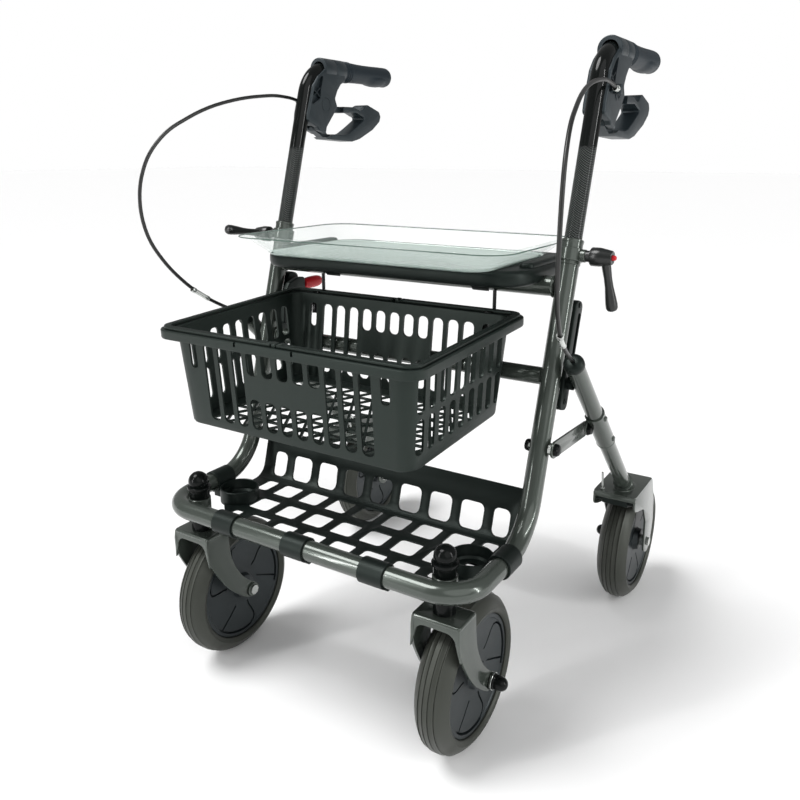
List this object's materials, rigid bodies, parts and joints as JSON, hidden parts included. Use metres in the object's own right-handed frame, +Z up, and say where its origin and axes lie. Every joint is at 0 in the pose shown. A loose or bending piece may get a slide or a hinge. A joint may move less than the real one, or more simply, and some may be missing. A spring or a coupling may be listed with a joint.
{
  "type": "rollator walking frame",
  "caption": "Four-wheeled walking frame with swivelling front wheels, folding rear legs, sliding handles with loop brakes, seat, clear tray, slotted basket and shelf.",
  "frame": {"origin": "centre of the footprint, on the floor under the wheels", "axes": "+Z up; -Y to the front, where the basket hangs; +Y to the user behind; +X to the right-hand side of someone who looks along +Y"},
  "size_m": [0.6012, 0.67, 0.8619],
  "materials": {
    "frame_paint": "satin metallic bronze-grey paint",
    "handle_paint": "gloss black",
    "black_plastic": "satin moulded black",
    "cable_sheath": "smooth black sheath",
    "grip_rubber": "soft dark grey rubber",
    "tyre_rubber": "grey-brown rubber with grooves",
    "hub_plastic": "dark grey moulded",
    "zinc_steel": "bright zinc",
    "clear_plastic": "clear with a pale green tint",
    "red_plastic": "gloss red"
  },
  "bodies": {
    "frame": {"main_frame": "frame_paint", "upper_cross_tube": "frame_paint", "middle_cross_tube": "frame_paint", "shelf": "black_plastic", "guide_rail_left": "black_plastic", "height_collar_left": "frame_paint", "link_bolt_left": "zinc_steel", "basket_hanger_left": "black_plastic", "head_bearing_left": "black_plastic", "brake_cable_left": "cable_sheath", "guide_rail_right": "black_plastic", "height_collar_right": "frame_paint", "link_bolt_right": "zinc_steel", "basket_hanger_right": "black_plastic", "head_bearing_right": "black_plastic", "brake_cable_right": "cable_sheath"},
    "handle_left": {"handle_tube_left": "handle_paint", "grip_left": "grip_rubber", "brake_housing_left": "black_plastic"},
    "brake_lever_left": {"brake_lever_left": "black_plastic"},
    "clamp_lever_left": {"clamp_lever_left": "black_plastic"},
    "clamp_button_left": {"clamp_button_left": "red_plastic"},
    "caster_left": {"caster_fork_left": "frame_paint", "front_axle_left": "zinc_steel"},
    "front_wheel_left": {"tyre_front_left": "tyre_rubber", "hub_front_left": "hub_plastic"},
    "slider_left": {"slide_block_left": "black_plastic"},
    "leg_left": {"rear_leg_left": "frame_paint", "leg_cap_left": "black_plastic", "rear_axle_left": "zinc_steel"},
    "brake_shoe_left": {"brake_shoe_left": "black_plastic"},
    "rear_wheel_left": {"tyre_rear_left": "tyre_rubber", "hub_rear_left": "hub_plastic"},
    "link_left": {"leg_link_left": "frame_paint"},
    "handle_right": {"handle_tube_right": "handle_paint", "grip_right": "grip_rubber", "brake_housing_right": "black_plastic"},
    "brake_lever_right": {"brake_lever_right": "black_plastic"},
    "clamp_lever_right": {"clamp_lever_right": "black_plastic"},
    "clamp_button_right": {"clamp_button_right": "red_plastic"},
    "caster_right": {"caster_fork_right": "frame_paint", "front_axle_right": "zinc_steel"},
    "front_wheel_right": {"tyre_front_right": "tyre_rubber", "hub_front_right": "hub_plastic"},
    "slider_right": {"slide_block_right": "black_plastic"},
    "leg_right": {"rear_leg_right": "frame_paint", "leg_cap_right": "black_plastic", "rear_axle_right": "zinc_steel"},
    "brake_shoe_right": {"brake_shoe_right": "black_plastic"},
    "rear_wheel_right": {"tyre_rear_right": "tyre_rubber", "hub_rear_right": "hub_plastic"},
    "link_right": {"leg_link_right": "frame_paint"},
    "seat": {"seat": "black_plastic"},
    "tray": {"tray": "clear_plastic"},
    "basket": {"basket": "black_plastic"},
    "bail_left": {"basket_bail_left": "black_plastic"},
    "bail_right": {"basket_bail_right": "black_plastic"},
    "fold_lock": {"fold_lock_lever": "black_plastic", "fold_lock_grip": "red_plastic"}
  },
  "joints": [
    {"name": "handle_height_left", "type": "slide", "parent": "frame", "child": "handle_left", "axis": [0, 0.2924, 0.9563], "range_m": [-0.075, 0.06], "deforming": ["brake_cable_left"]},
    {"name": "brake_squeeze_left", "type": "hinge", "parent": "handle_left", "child": "brake_lever_left", "pos_m": [-0.232, 0.06086, 0.792], "axis": [1, 0, 0], "range_deg": [0, 14], "stiffness_Nm_per_rad": 0.8, "springref_deg": -20.05},
    {"name": "clamp_turn_left", "type": "hinge", "parent": "frame", "child": "clamp_lever_left", "pos_m": [-0.258, -0.03601, 0.5967], "axis": [1, 0, 0], "range_deg": [-60, 60]},
    {"name": "clamp_release_left", "type": "slide", "parent": "clamp_lever_left", "child": "clamp_button_left", "axis": [1, 0, 0], "range_m": [0, 0.002], "stiffness_N_per_m": 150, "springref_m": -0.002},
    {"name": "caster_swivel_left", "type": "hinge", "parent": "frame", "child": "caster_left", "pos_m": [-0.194, -0.277, 0.213], "axis": [0, 0, 1], "continuous": true},
    {"name": "front_wheel_spin_left", "type": "hinge", "parent": "caster_left", "child": "front_wheel_left", "pos_m": [-0.194, -0.221, 0.1], "axis": [1, 0, 0], "continuous": true},
    {"name": "fold_left", "type": "slide", "parent": "frame", "child": "slider_left", "axis": [0, 0.2924, 0.9563], "range_m": [0, 0.07]},
    {"name": "leg_fold_left", "type": "hinge", "parent": "slider_left", "child": "leg_left", "pos_m": [-0.2645, -0.05432, 0.4372], "axis": [1, 0, 0], "range_deg": [-20.5, 0]},
    {"name": "link_fold_left", "type": "hinge", "parent": "frame", "child": "link_left", "pos_m": [-0.2495, -0.10653, 0.36604], "axis": [1, 0, 0], "range_deg": [0, 27.8]},
    {"name": "brake_shoe_press_left", "type": "hinge", "parent": "leg_left", "child": "brake_shoe_left", "pos_m": [-0.26, 0.15, 0.199], "axis": [1, 0, 0], "range_deg": [-2, 0]},
    {"name": "rear_wheel_spin_left", "type": "hinge", "parent": "leg_left", "child": "rear_wheel_left", "pos_m": [-0.26, 0.235, 0.1], "axis": [1, 0, 0], "continuous": true},
    {"name": "handle_height_right", "type": "slide", "parent": "frame", "child": "handle_right", "axis": [0, 0.2924, 0.9563], "range_m": [-0.075, 0.06], "deforming": ["brake_cable_right"]},
    {"name": "brake_squeeze_right", "type": "hinge", "parent": "handle_right", "child": "brake_lever_right", "pos_m": [0.232, 0.06086, 0.792], "axis": [1, 0, 0], "range_deg": [0, 14], "stiffness_Nm_per_rad": 0.8, "springref_deg": -20.05},
    {"name": "clamp_turn_right", "type": "hinge", "parent": "frame", "child": "clamp_lever_right", "pos_m": [0.258, -0.03601, 0.5967], "axis": [1, 0, 0], "range_deg": [-60, 60]},
    {"name": "clamp_release_right", "type": "slide", "parent": "clamp_lever_right", "child": "clamp_button_right", "axis": [-1, 0, 0], "range_m": [0, 0.002], "stiffness_N_per_m": 150, "springref_m": -0.002},
    {"name": "caster_swivel_right", "type": "hinge", "parent": "frame", "child": "caster_right", "pos_m": [0.194, -0.277, 0.213], "axis": [0, 0, 1], "continuous": true},
    {"name": "front_wheel_spin_right", "type": "hinge", "parent": "caster_right", "child": "front_wheel_right", "pos_m": [0.194, -0.221, 0.1], "axis": [1, 0, 0], "continuous": true},
    {"name": "fold_right", "type": "slide", "parent": "frame", "child": "slider_right", "axis": [0, 0.2924, 0.9563], "range_m": [0, 0.07]},
    {"name": "leg_fold_right", "type": "hinge", "parent": "slider_right", "child": "leg_right", "pos_m": [0.2645, -0.05432, 0.4372], "axis": [1, 0, 0], "range_deg": [-20.5, 0]},
    {"name": "link_fold_right", "type": "hinge", "parent": "frame", "child": "link_right", "pos_m": [0.2495, -0.10653, 0.36604], "axis": [1, 0, 0], "range_deg": [0, 27.8]},
    {"name": "brake_shoe_press_right", "type": "hinge", "parent": "leg_right", "child": "brake_shoe_right", "pos_m": [0.26, 0.15, 0.199], "axis": [1, 0, 0], "range_deg": [-2, 0]},
    {"name": "rear_wheel_spin_right", "type": "hinge", "parent": "leg_right", "child": "rear_wheel_right", "pos_m": [0.26, 0.235, 0.1], "axis": [1, 0, 0], "continuous": true},
    {"name": "seat_tip", "type": "hinge", "parent": "frame", "child": "seat", "pos_m": [0, -0.04785, 0.55797], "axis": [1, 0, 0], "range_deg": [0, 20]},
    {"name": "tray_lift", "type": "slide", "parent": "seat", "child": "tray", "axis": [0, 0, 1], "range_m": [0, 0.08]},
    {"name": "basket_lift", "type": "slide", "parent": "frame", "child": "basket", "axis": [0, -0.95, 0.3122], "range_m": [0, 0.12]},
    {"name": "bail_left", "type": "hinge", "parent": "basket", "child": "bail_left", "pos_m": [-0.006, -0.19773, 0.5178], "axis": [0, 0.999, 0.0436], "range_deg": [0, 10]},
    {"name": "bail_right", "type": "hinge", "parent": "basket", "child": "bail_right", "pos_m": [0.006, -0.19773, 0.5178], "axis": [0, -0.999, -0.0436], "range_deg": [0, 10]},
    {"name": "fold_lock_release", "type": "hinge", "parent": "frame", "child": "fold_lock", "pos_m": [-0.2045, -0.07017, 0.50206], "axis": [1, 0, 0], "range_deg": [-15, 0], "stiffness_Nm_per_rad": 0.3, "springref_deg": 20.05}
  ],
  "couplings": [
    {"joint": "fold_right", "follows": "fold_left", "ratio": 1},
    {"joint": "leg_fold_left", "follows": "fold_left", "rad_per_m": -5.085},
    {"joint": "leg_fold_right", "follows": "fold_left", "rad_per_m": -5.085},
    {"joint": "link_fold_left", "follows": "fold_left", "rad_per_m": 6.919},
    {"joint": "link_fold_right", "follows": "fold_left", "rad_per_m": 6.919},
    {"joint": "brake_shoe_press_left", "follows": "brake_squeeze_left", "ratio": -0.1428},
    {"joint": "brake_shoe_press_right", "follows": "brake_squeeze_right", "ratio": -0.1428}
  ]
}
